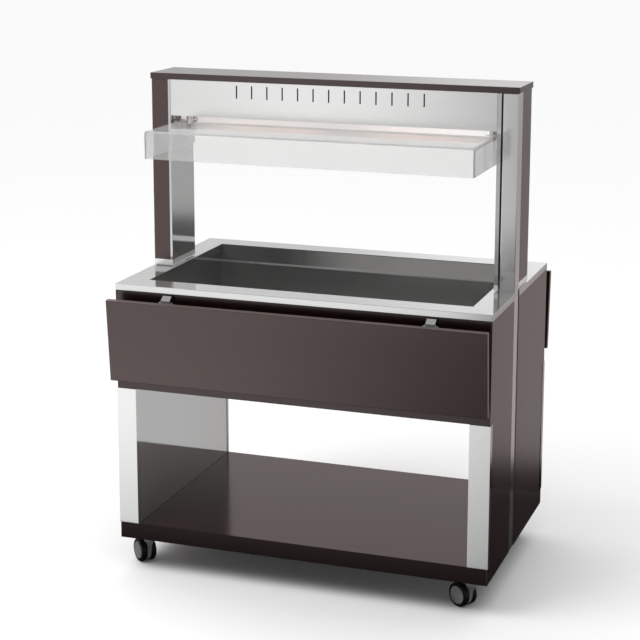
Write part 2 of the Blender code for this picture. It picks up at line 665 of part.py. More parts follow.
def wheel_profile(inner, outer):
    """One wheel's half section: a tyre with round shoulders and a sunken hub face."""
    shoulder = 0.0042
    steps = 3
    profile = [(0, outer), (0.0262, outer), (0.0274, outer - 0.0010), (0.0276, outer - 0.0022),
               (0.0282, outer - 0.0022), (0.0284, outer - 0.0004)]
    for index in range(steps + 1):
        angle = math.pi / 2 * index / steps
        profile.append((WHEEL_RADIUS - shoulder + shoulder * math.sin(angle),
                        outer - shoulder + shoulder * math.cos(angle)))
    for index in range(steps + 1):
        angle = math.pi / 2 * index / steps
        profile.append((WHEEL_RADIUS - shoulder + shoulder * math.cos(angle),
                        inner + shoulder - shoulder * math.sin(angle)))
    return profile + [(0, inner)]


def twin_wheels(name, swivel):
    """The two wheels on their axle, which roll together."""
    axle = empty(name + "_axis", (0, CASTER_TRAIL, WHEEL_RADIUS), parent=swivel)
    wheels = turned(name, wheel_profile(*WHEEL_X), TYRE, axle, turn=(0, math.pi / 2, 0), steps=36)
    other = turned(name + "_other", wheel_profile(*WHEEL_X), None, axle, turn=(0, -math.pi / 2, 0),
                   steps=36)
    fuse(wheels, cylinder(name + "_axle", (0, 0, 0), "X", 0.0040, 0.0300, parent=axle, sides=20), other)


def caster(label, x, y, swivel_angle):
    """One swivel caster, turned as it rests."""
    caster_mount("caster_mount_" + label, x, y)
    swivel = empty("caster_swivel_" + label, (x, y, 0), (0, 0, swivel_angle))
    caster_body("caster_body_" + label, swivel)
    twin_wheels("caster_wheels_" + label, swivel)


# ---------------------------------------------------------------- the whole trolley

def side_wall(label, side, front, back):
    """Everything on one end of the trolley, built on the right and turned with its side."""
    forward = side_panel(f"side_panel_{label}_{front}", (-HALF_DEPTH, POST_Y[0] - 0.0035), side)
    rear = side_panel(f"side_panel_{label}_{back}", (POST_Y[1] + GAP, HALF_DEPTH), side)
    leg_facing(f"leg_facing_{label}_{front}", -1, side)
    leg_facing(f"leg_facing_{label}_{back}", 1, side)
    side_frame("side_frame_" + label, side)
    post("post_" + label, side)
    upright_board("upright_board_" + label, side)
    inner_cover("inner_cover_" + label, side)
    return forward, rear


def build():
    """Make every sub-part."""
    half_turn = (0, 0, math.pi)
    sides = {"right": empty("right_side"), "left": empty("left_side", turn=half_turn)}
    fronts = {"front": empty("front_side"), "rear": empty("rear_side", turn=half_turn)}

    base_shelf(sides)
    for label, side in fronts.items():
        box_panel(label + "_panel", side)
        folding_shelf(label, side)
        fascia("fascia_" + label, side)
    cabinet_floor()
    side_wall("right", sides["right"], "front", "rear")
    control_wall = side_wall("left", sides["left"], "rear", "front")[1]
    worktop(sides)

    well()
    heater_mat()
    drain()

    gantry_board()
    lamp_reflector()
    heat_lamp("heat_lamp_left", -LAMP_X)
    heat_lamp("heat_lamp_right", LAMP_X)
    hood()
    hood_bracket("hood_bracket_left", -1)
    hood_bracket("hood_bracket_right", 1)

    control_box(control_wall)
    thermostat_knob()
    rocker_switch()
    cable_gland()

    for end, x in (("right", CASTER_X), ("left", -CASTER_X)):
        caster("front_" + end, x, -CASTER_Y, CASTER_SWIVEL[end])
        caster("rear_" + end, x, CASTER_Y, CASTER_SWIVEL[end])
    bpy.context.view_layer.update()


build()
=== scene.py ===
"""Looks of the heated food service trolley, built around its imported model.

Units are metres in the model's own frame: +Z up, +X to the right along the serving front,
which faces -Y. The CAD nodes carry the shape. This script gives each of them a finish and
adds the small pieces that the CAD leaves out.
"""
import json
import math

import bmesh
import bpy
from mathutils import Matrix, Vector


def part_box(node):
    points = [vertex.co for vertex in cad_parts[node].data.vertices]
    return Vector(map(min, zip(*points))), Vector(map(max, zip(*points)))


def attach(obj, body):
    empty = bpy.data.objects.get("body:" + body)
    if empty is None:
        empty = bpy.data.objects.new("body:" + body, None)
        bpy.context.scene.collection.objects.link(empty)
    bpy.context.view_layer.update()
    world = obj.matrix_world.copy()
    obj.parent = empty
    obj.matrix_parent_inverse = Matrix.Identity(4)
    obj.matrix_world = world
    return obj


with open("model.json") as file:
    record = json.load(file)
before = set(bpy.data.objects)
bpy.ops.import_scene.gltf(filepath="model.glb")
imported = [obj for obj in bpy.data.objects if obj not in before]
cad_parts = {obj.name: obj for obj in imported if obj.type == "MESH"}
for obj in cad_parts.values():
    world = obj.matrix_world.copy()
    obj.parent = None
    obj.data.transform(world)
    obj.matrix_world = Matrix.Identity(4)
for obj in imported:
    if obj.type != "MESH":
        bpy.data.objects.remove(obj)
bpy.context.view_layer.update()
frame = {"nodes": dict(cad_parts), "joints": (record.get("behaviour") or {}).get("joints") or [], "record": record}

# The camera, at the photograph's viewing angle
CAMERA_PLACE = (1.5887, -4.6243, 1.9868)
CAMERA_YAW = math.radians(18.536)
CAMERA_PITCH = math.radians(11.244)
CAMERA_ROLL = math.radians(0.249)
CAMERA_LENS = 94.785
CAMERA_SHIFT = (-0.0467, -0.1463)

# The studio
FLOOR_SIZE = 124.0
FLOOR_COLOUR = (0.93, 0.93, 0.93)
# The floor shadow card is a dark sheet seen only in reflections: painted shade
CARD_SIZE = (0.97, 0.69)
CARD_COLOUR = (0.004, 0.004, 0.004)
CLEAR_OF_FLOOR = 0.001
BACKDROP_RADIUS = 60.0
BACKDROP_BEND = 16.0
BACKDROP_HEIGHT = 70.0
SOFTBOX_PLACE = (-1.8, -2.2, 3.6)
SOFTBOX_AIM = (0, 0, 0.6)
SOFTBOX_SIZE = (2.6, 2.0)
SOFTBOX_WATTS = 75.0

# The world's fields of light. Each is a soft step: where it starts, where it ends, and the values
# before and after it where they aren't 0 and 1. The limits are degrees of elevation, or of bearing
# where the name says so.
FRONT_BEARING = (4.0, 21.0, 0.45, 1.35)
FRONT_FALL = (-22.5, -17.0, 0.65, 1.0)
UPPER_BEARING = (11.0, 18.5, 0.38, 1.46)
UPPER_BEARING_LOSS = (19.5, 26.0, 0.0, 0.50)
UPPER_FROM = (-13.0, -9.0)
FRONT_GAP_BOTTOM = (-16.4, -15.2)
FRONT_GAP_TOP = (-11.2, -11.9)
FRONT_GAP_BEARING = (14.8, 13.2, 0.0, 0.93)
LOWEST_BEARING = (13.0, 28.0, 0.02, 1.45)
LOWEST_TO = (-24.0, -22.5)
RIGHT_BEARING = (-162.0, -155.0, 0.42, 0.62)
RIGHT_FALL = (-19.4, -18.7, 0.02, 1.0)
RIGHT_GAP_BOTTOM = (-14.0, -13.3)
RIGHT_GAP_TOP = (-10.6, -11.1)
RIGHT_GAP_BEARING = (-158.5, -156.5, 0.0, 0.92)
BACK_LEFT_LIGHT = 0.60
BACK_RISE = (0.0, 6.5, 0.50, 0.92)
BACK_LIFT_BEARING = (160.0, 166.5, -0.08, 0.36)
BACK_LIFT_TO = (16.0, 12.0)
RIGHT_DARK_FROM = (17.0, 21.5, 1.10, 0.02)
FRONT_DARK_FROM = (8.0, 13.0, 1.0, 0.28)
OVERHEAD_FROM = (30.0, 60.0)
OVERHEAD_LIGHT = 1.60
UPPER_HALF_FROM = (-2.0, 5.0)
WARM_FROM = (14.0, 19.0)
WARM_TO = (34.0, 26.0)
WARM_BEARING = (-155.0, -162.0)
WARM_LOW_FROM = (-5.0, -9.0)
WARM_LOW_AMOUNT = 0.95
WARM_COLOUR = (1.0, 0.885, 0.865)
WHITE = (1.0, 1.0, 1.0)

# Sizes of the model that no node's box tells
LEDGE_Z = 0.820
SHELF_TILT = math.radians(4.7)
SHELF_OUTER = 0.0443
SHELF_THICKNESS = 0.018
SHELF_ARM_PLATE = 0.0024
CASTER_PLATE = 0.0030
HOOD_BRACKET_PLATE = 0.0020
HOOD_BRACKET_SCREW_DOWN = 0.0065
CONTROL_TRAY = 0.0013
DRAIN_LEVER_PLATE = 0.004
WELL_SHEET = 0.0015
NODE_GAP = 0.0003

# Sizes of the small pieces
CLEAR = 0.0001
SCREW_RADIUS = 0.0032
BRACKET_SCREW_RADIUS = 0.0026
CONTROL_SCREW_RADIUS = 0.0022
CASTER_SCREW_INSET = 0.007
ARM_SCREWS_DOWN = (0.095, 0.120)
BRACKET_SCREW_INSET = 0.022
CONTROL_SCREW_INSET = 0.0045
SEAL = 0.0022
SEAL_END = 0.004
SEAL_HOLLOW = 0.75
HUB_CAP = [(0, 0.0010), (0.0050, 0.0010), (0.0062, 0.0006), (0.0190, 0.0007), (0.0222, 0.0009),
           (0.0240, 0.0014), (0.0256, 0.0012), (0.0262, 0.0002), (0.0262, 0), (0, 0)]
PILOT_LAMP = [(0, 0.0030), (0.0020, 0.0027), (0.0034, 0.0018), (0.0040, 0.0006), (0.0052, 0.0006),
              (0.0055, 0), (0, 0)]
PILOT_ABOVE_SWITCH = 0.0170
KNOB_MARKS = 10
KNOB_MARK_STEP = math.radians(30)
KNOB_MARK_RADIUS = 0.0265
KNOB_MARK_SIZE = (0.0003, 0.0010)
KNOB_MARK_LENGTHS = (0.0060, 0.0040)
POINTER_UP = 0.0105
POINTER_SIZE = (0.0004, 0.0011, 0.0140)
POINTER_BEVEL = 0.00012
STRAINER_RIM = [(0.0128, 0.0004), (0.0170, 0.0004), (0.0172, 0.0012), (0.0150, 0.0020),
                (0.0128, 0.0018), (0.0128, 0.0004)]
STRAINER_BARS = 12
STRAINER_BAR_SIZE = (0.0262, 0.0009, 0.0009)
STRAINER_BAR_UP = 0.0012
SLEEVE_SIZE = (0.046, 0.0074, 0.0200)
SLEEVE_PAST_LEVER = 0.003
SLEEVE_BEVEL = 0.0030
LAMP_HOLDER = 0.0230
LAMP_HOLDER_BLUR = 0.0005
FINISH_BLUR = 0.002
SHARP_ANGLE = math.radians(38)

# Colours
WOOD_DARK = (0.0108, 0.0036, 0.0030)
WOOD_LIGHT = (0.0175, 0.0066, 0.0056)
WOOD_PORE = (0.0075, 0.0026, 0.0022)
WOOD_SHEEN = (1.0, 0.84, 0.82, 1.0)
LIGHT_EDGE = (0.062, 0.045, 0.042)
# Near-black banding for the base shelf's edges: painted shade for the shadow low by the floor
SHADOWED_EDGE = (0.0078, 0.0044, 0.0040)
WOOD_EDGE = (0.0270, 0.0120, 0.0110)
BOARD_EDGE = (0.011, 0.005, 0.0045)
# The top sheet's lighter tint is painted light
ACRYLIC_TOP_PAINTED_LIGHT = (0.985, 0.985, 0.980)
ACRYLIC_DIM = (0.810, 0.810, 0.806)
ACRYLIC_CLEAR = (0.845, 0.845, 0.842)
COIL_DIM = (1.0, 0.36, 0.16)
COIL_HOT = (1.0, 0.66, 0.46)
QUARTZ = (0.80, 0.62, 0.54)
CERAMIC = (0.30, 0.29, 0.28)
RUBBER = (0.003, 0.003, 0.003)
RUBBER_DUST = (0.018, 0.017, 0.016)

NODES = frame["nodes"]
JOINTS = {joint["name"]: joint for joint in frame["joints"]}
BODIES = frame["record"]["behaviour"]["bodies"]
BODY_OF = {node: body for body, nodes in BODIES.items() for node in nodes}


# ---------------------------------------------------------------- shader nodes

def connect(tree, value, socket):
    """Put a number, a colour or another node's output into a socket."""
    if isinstance(value, bpy.types.NodeSocket):
        tree.links.new(value, socket)
    else:
        socket.default_value = value


def maths(tree, operation, *values):
    """A Math node."""
    node = tree.nodes.new("ShaderNodeMath")
    node.operation = operation
    for value, socket in zip(values, node.inputs):
        connect(tree, value, socket)
    return node.outputs[0]


def smooth(tree, value, low, high, start=0.0, end=1.0):
    """A soft step: start below low, end above high. With low above high it runs the other way."""
    node = tree.nodes.new("ShaderNodeMapRange")
    node.interpolation_type = "SMOOTHSTEP"
    for item, socket in zip((value, low, high, start, end), node.inputs):
        connect(tree, item, socket)
    return node.outputs[0]


def blend_numbers(tree, factor, first, second):
    """first where the factor is 0, and second where it is 1."""
    node = tree.nodes.new("ShaderNodeMix")
    sockets = (node.inputs[0], node.inputs[2], node.inputs[3])
    for value, socket in zip((factor, first, second), sockets):
        connect(tree, value, socket)
    return node.outputs[0]


def blend_colours(tree, factor, first, second):
    """The same with two colours."""
    node = tree.nodes.new("ShaderNodeMix")
    node.data_type = "RGBA"
    sockets = (node.inputs[0], node.inputs[6], node.inputs[7])
    for value, socket in zip((factor, first, second), sockets):
        if not isinstance(value, bpy.types.NodeSocket) and socket.type == "RGBA":
            value = (*value, 1.0)
        connect(tree, value, socket)
    return node.outputs[2]


def coordinates(tree, kind="Object"):
    """The place on the object, or the direction for the other kinds: whole, and as X, Y and Z."""
    place = tree.nodes.new("ShaderNodeTexCoord").outputs[kind]
    split = tree.nodes.new("ShaderNodeSeparateXYZ")
    tree.links.new(place, split.inputs[0])
    return place, split.outputs


def noise(tree, scales, detail=3.0, roughness=0.5, distortion=0.0):
    """Noise with its own scale along each axis, which makes streaks when they differ."""
    place, _ = coordinates(tree)
    mapping = tree.nodes.new("ShaderNodeMapping")
    mapping.inputs["Scale"].default_value = scales
    tree.links.new(place, mapping.inputs["Vector"])
    node = tree.nodes.new("ShaderNodeTexNoise")
    node.inputs["Scale"].default_value = 1.0
    node.inputs["Detail"].default_value = detail
    node.inputs["Roughness"].default_value = roughness
    node.inputs["Distortion"].default_value = distortion
    tree.links.new(mapping.outputs[0], node.inputs["Vector"])
    return node.outputs["Fac"]


def along(axis, long_scale, cross_scale):
    """Scales for streaks that run along one axis."""
    return [long_scale if name == axis else cross_scale for name in "XYZ"]


def material(name, roughness=0.5, metallic=0.0, colour=(0.5, 0.5, 0.5), **sockets):
    """A Principled material with constants on its own sockets."""
    made = bpy.data.materials.new(name)
    made.use_nodes = True
    tree = made.node_tree
    shader = tree.nodes["Principled BSDF"]
    shader.inputs["Base Color"].default_value = (*colour, 1.0)
    shader.inputs["Roughness"].default_value = roughness
    shader.inputs["Metallic"].default_value = metallic
    for socket, value in sockets.items():
        shader.inputs[socket.replace("_", " ")].default_value = value
    return made, tree, shader


def add_bump(tree, shader, height, strength, distance=0.001):
    """Small relief from a height."""
    node = tree.nodes.new("ShaderNodeBump")
    node.inputs["Strength"].default_value = strength
    node.inputs["Distance"].default_value = distance
    tree.links.new(height, node.inputs["Height"])
    tree.links.new(node.outputs[0], shader.inputs["Normal"])


# ---------------------------------------------------------------- finishes

def laminate(name, grain, face, edge_colour, edge_roughness, gloss, level=0.80, shade=1.0):
    """Dark wood laminate with its grain along one axis.

    Surfaces that don't look along the face axis are the board's edges, banded in a plain colour. A shade below 1
    darkens the wood as painted shade.
    """
    made, tree, shader = material(name, Specular_IOR_Level=level, Specular_Tint=WOOD_SHEEN)
    broad = noise(tree, along(grain, 1.1, 26.0), detail=4.0, roughness=0.6, distortion=0.4)
    fine = noise(tree, along(grain, 9.0, 420.0), detail=3.0, roughness=0.7)
    pores = noise(tree, along(grain, 40.0, 1500.0), detail=2.0)
    streaks = maths(tree, "ADD", maths(tree, "MULTIPLY", broad, 0.55),
                    maths(tree, "MULTIPLY", fine, 0.45))
    dark, light, pore = ([channel * shade for channel in colour]
                         for colour in (WOOD_DARK, WOOD_LIGHT, WOOD_PORE))
    wood = blend_colours(tree, smooth(tree, streaks, 0.36, 0.66), dark, light)
    wood = blend_colours(tree, smooth(tree, pores, 0.60, 0.72), wood, pore)
    _, normal = coordinates(tree, "Normal")
    is_edge = smooth(tree, maths(tree, "ABSOLUTE", normal["XYZ".index(face)]), 0.90, 0.60)
    connect(tree, blend_colours(tree, is_edge, wood, edge_colour), shader.inputs["Base Color"])
    satin = maths(tree, "ADD", gloss, maths(tree, "MULTIPLY", fine, 0.06))
    connect(tree, blend_numbers(tree, is_edge, satin, edge_roughness), shader.inputs["Roughness"])
    add_bump(tree, shader, pores, 0.02, 0.0003)
    return made


def steel(name, brush, roughness, shade=0.66, streak=0.5, spread=0.05, haze=0.0):
    """Brushed stainless steel: streaks along one axis that change its shade and its gloss.

    The haze is the part of the light that the brushing scatters all round.
    """
    made, tree, shader = material(name, metallic=1.0 - haze)
    fine = noise(tree, along(brush, 3.0, 900.0), detail=3.0, roughness=0.7)
    wide = noise(tree, along(brush, 0.8, 34.0), detail=2.0)
    cloud = noise(tree, (2.2, 2.2, 2.2), detail=2.0)
    dark, light = shade * (1 - 0.10 * streak), shade * (1 + 0.08 * streak)
    tone = blend_colours(tree, fine, (dark, dark, dark * 0.992), (light, light, light * 0.995))
    wide = maths(tree, "MULTIPLY", wide, 0.30)
    tone = blend_colours(tree, wide, tone, (dark, dark, dark * 0.985))
    connect(tree, tone, shader.inputs["Base Color"])
    change = maths(tree, "ADD", maths(tree, "MULTIPLY", fine, spread),
                   maths(tree, "MULTIPLY", cloud, spread))
    connect(tree, maths(tree, "ADD", roughness - spread, change), shader.inputs["Roughness"])
    add_bump(tree, shader, fine, 0.02 * streak, 0.0002)
    return made


def haze_and_paint_light(made, find_part, clear, hazy, lift=1.0):
    """Let a steel scatter more light where find_part(tree) says so, and scale its colour there by lift as painted
    light.
    """
    tree = made.node_tree
    shader = tree.nodes["Principled BSDF"]
    is_part = find_part(tree)
    connect(tree, blend_numbers(tree, is_part, clear, hazy), shader.inputs["Metallic"])
    # Painted light: where the part is, the colour is scaled up by lift
    colour = shader.inputs["Base Color"]
    tone = colour.links[0].from_socket
    change = tree.nodes.new("ShaderNodeVectorMath")
    change.operation = "SCALE"
    tree.links.new(tone, change.inputs[0])
    connect(tree, blend_numbers(tree, is_part, 1.0, lift), change.inputs["Scale"])
    tree.links.new(change.outputs[0], colour)


def moulded(name, colour, roughness, grain=900.0, depth=0.06):
    """Moulded plastic or rubber with a fine texture and a slightly uneven shade."""
    made, tree, shader = material(name, roughness)
    texture = noise(tree, (grain, grain, grain), detail=2.0)
    patches = noise(tree, (35.0, 35.0, 35.0), detail=3.0)
    pale = [channel * 1.25 + 0.004 for channel in colour]
    connect(tree, blend_colours(tree, smooth(tree, patches, 0.30, 0.75), colour, pale),
            shader.inputs["Base Color"])
    connect(tree, blend_numbers(tree, patches, roughness - 0.06, roughness + 0.08),
            shader.inputs["Roughness"])
    add_bump(tree, shader, texture, depth, 0.0004)
    return made


def acrylic():
    """Milky acrylic, its top sheet tinted lighter as painted light, with the fine wipe marks of a used hood."""
    made, tree, shader = material("acrylic", Transmission_Weight=0.80, IOR=1.49)
    haze = noise(tree, (5.0, 5.0, 5.0), detail=3.0)
    wipes = noise(tree, along("X", 6.0, 240.0), detail=3.0, roughness=0.7)
    tint = blend_colours(tree, haze, ACRYLIC_DIM, ACRYLIC_CLEAR)
    # Painted light: the top sheet gets a lighter tint than the sides
    is_top_painted_light = smooth(tree, coordinates(tree, "Normal")[1][2], 0.3, 0.8)
    tint = blend_colours(tree, is_top_painted_light, tint, ACRYLIC_TOP_PAINTED_LIGHT)
    connect(tree, tint, shader.inputs["Base Color"])
    connect(tree, smooth(tree, wipes, 0.50, 0.85, 0.015, 0.055), shader.inputs["Roughness"])
    return made


def glowing_quartz():
    """A frosted quartz tube, hot along its middle, in grey ceramic end holders."""
    made, tree, shader = material("heat_lamp", 0.25, Emission_Strength=4.0)
    _, place = coordinates(tree)
    box_low, box_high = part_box("heat_lamp_right")
    middle, half = (box_low.x + box_high.x) / 2, (box_high.x - box_low.x) / 2
    from_centre = maths(tree, "ABSOLUTE", place[0])
    from_middle = maths(tree, "ABSOLUTE", maths(tree, "SUBTRACT", from_centre, middle))
    holder_start = half - LAMP_HOLDER
    is_holder = smooth(tree, from_middle, holder_start - LAMP_HOLDER_BLUR,
                       holder_start + LAMP_HOLDER_BLUR)
    coil = noise(tree, (700.0, 6.0, 6.0), detail=1.0)
    hot = blend_colours(tree, smooth(tree, coil, 0.35, 0.65), COIL_DIM, COIL_HOT)
    glow = blend_colours(tree, is_holder, hot, (0.0, 0.0, 0.0))
    connect(tree, blend_colours(tree, is_holder, QUARTZ, CERAMIC), shader.inputs["Base Color"])
    connect(tree, glow, shader.inputs["Emission Color"])
    return made


def tyre():
    """Black caster tyre: matt, scuffed and dusty on its tread."""
    made, tree, shader = material("tyre", 0.55, Specular_IOR_Level=0.25)
    scuffs = noise(tree, (90.0, 90.0, 90.0), detail=5.0, roughness=0.7)
    speckle = noise(tree, (1400.0, 1400.0, 1400.0), detail=2.0)
    connect(tree, blend_colours(tree, smooth(tree, scuffs, 0.50, 0.85), RUBBER, RUBBER_DUST),
            shader.inputs["Base Color"])
    connect(tree, smooth(tree, scuffs, 0.30, 0.80, 0.38, 0.66), shader.inputs["Roughness"])
    add_bump(tree, shader, speckle, 0.10, 0.0003)
    return made


def finish_nodes():
    """Give each CAD node its finish."""
    front = laminate("laminate_front", "X", "Y", LIGHT_EDGE, 0.30, gloss=0.17, level=1.0)
    # Painted shade: the panels' wood is darkened to 0.45 for the shadow behind the shelves
    shadowed_panel = laminate("laminate_panel_shadowed", "X", "Y", LIGHT_EDGE, 0.30, gloss=0.20, shade=0.45)
    # Painted shade: the base shelf's and cabinet floor's edges are banded near-black
    shelf = laminate("laminate_shelf", "X", "Z", SHADOWED_EDGE, 0.30, gloss=0.12, level=0.30)
    side = laminate("laminate_side", "Z", "X", WOOD_EDGE, 0.24, gloss=0.12)
    board = laminate("laminate_board", "X", "Z", BOARD_EDGE, 0.20, gloss=0.14)
    worktop = steel("steel_worktop", "X", 0.09, shade=0.51, streak=0.4, haze=0.26)
    facing = steel("steel_facing", "Z", 0.08, shade=0.66, streak=0.3)
    wall = steel("steel_wall", "Z", 0.050, shade=0.65, streak=0.2, spread=0.02, haze=0.08)
    satin = steel("steel_satin", "Z", 0.10, shade=0.70, streak=0.6, spread=0.03, haze=0.04)
    cover = steel("steel_cover", "Z", 0.08, shade=0.53, streak=0.5, spread=0.03, haze=0.18)
    fascia = steel("steel_fascia", "X", 0.18, shade=0.66, streak=0.8)
    reflector = steel("steel_reflector", "X", 0.14, shade=0.86, streak=0.3, haze=0.50)
    basin = steel("steel_basin", "X", 0.08, shade=0.52, streak=0.8, spread=0.03, haze=0.07)
    plated = steel("plated_steel", "Z", 0.26, shade=0.22, streak=0.9, spread=0.08)
    black = moulded("black_plastic", (0.012, 0.012, 0.012), 0.38)
    grey = moulded("grey_plastic", (0.115, 0.118, 0.118), 0.42)
    heater = moulded("heater_silicone", (0.42, 0.10, 0.045), 0.60, grain=500.0, depth=0.20)
    foot_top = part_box("upright_board_left")[0].z

    def is_long_side(tree):
        """1 on the surfaces that look to the front or the rear."""
        facing_y = maths(tree, "ABSOLUTE", coordinates(tree, "Normal")[1][1])
        return smooth(tree, facing_y, 0.3, 0.7)

    def is_foot(tree):
        """1 below the upright's boards."""
        return smooth(tree, coordinates(tree)[1][2], foot_top, foot_top - FINISH_BLUR / 2)

    def is_recess(tree):
        """How much painted light the long walls get: slight below the ledge, and rising from left to middle above.
        """
        x, _, z = coordinates(tree)[1]
        is_high = smooth(tree, z, LEDGE_Z - FINISH_BLUR, LEDGE_Z + FINISH_BLUR)
        amount = blend_numbers(tree, is_high, 0.17, smooth(tree, x, -0.30, 0.0, 0.20, 1.0))
        return maths(tree, "MULTIPLY", amount, is_long_side(tree))

    # Painted light: the worktop's faces that look to the front or the rear are lightened 1.22 times
    haze_and_paint_light(worktop, is_long_side, 0.74, 0.70, lift=1.22)
    # Painted light: the feet below the upright's boards are lightened 1.45 times
    haze_and_paint_light(cover, is_foot, 0.84, 0.30, lift=1.45)
    # Painted light: the basin's long walls are lightened up to 1.5 times, most above the ledge towards the middle
    haze_and_paint_light(basin, is_recess, 0.95, 0.40, lift=1.50)
    finishes = {
        front: ["front_shelf", "rear_shelf"],
        shadowed_panel: ["front_panel", "rear_panel"],
        shelf: ["base_shelf", "cabinet_floor"],
        side: ["side_panel_right_front", "side_panel_right_rear", "side_panel_left_front",
               "side_panel_left_rear", "upright_board_left", "upright_board_right"],
        board: ["gantry_board"],
        worktop: ["worktop"],
        facing: ["leg_facing_right_front", "leg_facing_right_rear", "leg_facing_left_front",
                 "leg_facing_left_rear"],
        wall: ["side_frame_left", "side_frame_right"],
        reflector: ["lamp_reflector"],
        satin: ["post_left", "post_right", "control_box", "drain_pipe", "hood_bracket_left",
                "hood_bracket_right"],
        cover: ["inner_cover_left", "inner_cover_right"],
        fascia: ["fascia_front", "fascia_rear"],
        basin: ["well"],
        plated: ["drain_lever"] + [name for name in NODES
                                   if "console" in name or "_arm_" in name or "mount" in name],
        black: ["thermostat_knob", "rocker_switch", "cable_gland"],
        grey: [name for name in NODES if name.startswith("caster_body")],
        acrylic(): ["hood"],
        glowing_quartz(): ["heat_lamp_left", "heat_lamp_right"],
        heater: ["heater_mat"],
        tyre(): [name for name in NODES if name.startswith("caster_wheels")],
    }
    for look, names in finishes.items():
        for name in names:
            NODES[name].data.materials.clear()
            NODES[name].data.materials.append(look)
    missed = set(NODES) - {name for names in finishes.values() for name in names}
    assert not missed, missed
    return {"plated": plated, "black": black, "grey": grey, "steel": satin}


# ---------------------------------------------------------------- small pieces

def new_piece(name, shape, look, body):
    """Turn a bmesh into a piece that rides on a body."""
    mesh = bpy.data.meshes.new(name)
    bmesh.ops.recalc_face_normals(shape, faces=shape.faces)
    shape.to_mesh(mesh)
    shape.free()
    mesh.shade_smooth()
    mesh.set_sharp_from_angle(angle=SHARP_ANGLE)
    mesh.materials.append(look)
    piece = bpy.data.objects.new(name, mesh)
    bpy.context.scene.collection.objects.link(piece)
    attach(piece, body)
    return piece


def lathe(shape, profile, frame_matrix, steps=32):
    """Spin a profile of (radius, height) points about Z, and place it."""
    rings = []
    for radius, height in profile:
        if radius < 1e-6:
            rings.append([shape.verts.new(frame_matrix @ Vector((0, 0, height)))])
            continue
        ring = []
        for step in range(steps):
            angle = 2 * math.pi * step / steps
            place = Vector((radius * math.cos(angle), radius * math.sin(angle), height))
            ring.append(shape.verts.new(frame_matrix @ place))
        rings.append(ring)
    for first, second in zip(rings, rings[1:]):
        for step in range(steps):
            after = (step + 1) % steps
            corners = [first[step % len(first)], first[after % len(first)],
                       second[after % len(second)], second[step % len(second)]]
            corners = list(dict.fromkeys(corners))
            if len(corners) > 2:
                shape.faces.new(corners)


def facing_frame(place, direction):
    """A frame at a place whose Z points in a direction."""
    turn = Vector(direction).to_track_quat("Z", "Y").to_matrix().to_4x4()
    return Matrix.Translation(Vector(place)) @ turn


def screw(name, place, direction, look, body, radius=SCREW_RADIUS):
    """A button-head screw with a sunken socket."""
    height = radius * 0.55
    profile = [(0, height * 0.35), (radius * 0.42, height * 0.35), (radius * 0.46, height * 0.97)]
    for step in range(5):
        angle = math.pi / 2 * step / 4
        profile.append((radius * (0.52 + 0.48 * math.sin(angle)),
                        height * (0.15 + 0.85 * math.cos(angle))))
    profile.append((radius, 0))
    shape = bmesh.new()
    lathe(shape, profile + [(0, 0)], facing_frame(place, direction), steps=18)
    return new_piece(name, shape, look, body)


def hub_caps(looks):
    """A grey cap with a raised rim on the outer face of each caster wheel."""
    for name, joint in JOINTS.items():
        if not name.startswith("caster_roll"):
            continue
        middle, axis = Vector(joint["pos_m"]), Vector(joint["axis"])
        wheels = NODES[joint["child"]].data
        reach = max((corner.co - middle).dot(axis) for corner in wheels.vertices)
        for side in (-1, 1):
            shape = bmesh.new()
            outer = middle + axis * side * (reach + CLEAR)
            lathe(shape, HUB_CAP, facing_frame(outer, axis * side), steps=40)
            place = name.removeprefix("caster_roll_")
            new_piece(f"hub_cap_{place}_{'in' if side < 0 else 'out'}", shape, looks["hub"],
                      joint["child"])


def caster_plate_screws(name, look):
    """Four screws up through a caster's plate."""
    low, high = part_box(name)
    middle = (low + high) / 2
    for x in (low.x + CASTER_SCREW_INSET, high.x - CASTER_SCREW_INSET):
        for y in (low.y + CASTER_SCREW_INSET, high.y - CASTER_SCREW_INSET):
            screw(f"{name}_screw_{x > middle.x:d}{y > middle.y:d}",
                  (x, y, high.z - CASTER_PLATE - CLEAR), (0, 0, -1), look, BODY_OF[name])


def shelf_arm_screws(name, look):
    """Two screws through a shelf arm into the tilted shelf."""
    low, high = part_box(name)
    body = BODY_OF[name]
    pivot_y, pivot_z = JOINTS[body.split("_")[0] + "_shelf_fold"]["pos_m"][1:]
    outward = -1 if pivot_y < 0 else 1
    turn = Matrix.Rotation(SHELF_TILT * -outward, 4, "X")
    pivot = Vector(((low.x + high.x) / 2, pivot_y, pivot_z))
    head = outward * (SHELF_OUTER - SHELF_THICKNESS - SHELF_ARM_PLATE)
    for down in ARM_SCREWS_DOWN:
        place = pivot + turn @ Vector((0, head, -down))
        screw(f"{name}_screw_{down * 1000:.0f}", place, turn @ Vector((0, -outward, 0)), look, body)


def hood_bracket_screws(name, look):
    """Two screws through a hood bracket into the inner cover."""
    low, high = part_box(name)
    middle = (low + high) / 2
    side = -1 if middle.x < 0 else 1
    wall = max(abs(low.x), abs(high.x)) - HOOD_BRACKET_PLATE
    for y in (low.y + BRACKET_SCREW_INSET, high.y - BRACKET_SCREW_INSET):
        screw(f"{name}_wall_screw_{y > middle.y:d}",
              (side * wall, y, high.z - HOOD_BRACKET_SCREW_DOWN), (-side, 0, 0), look,
              BODY_OF[name], radius=BRACKET_SCREW_RADIUS)


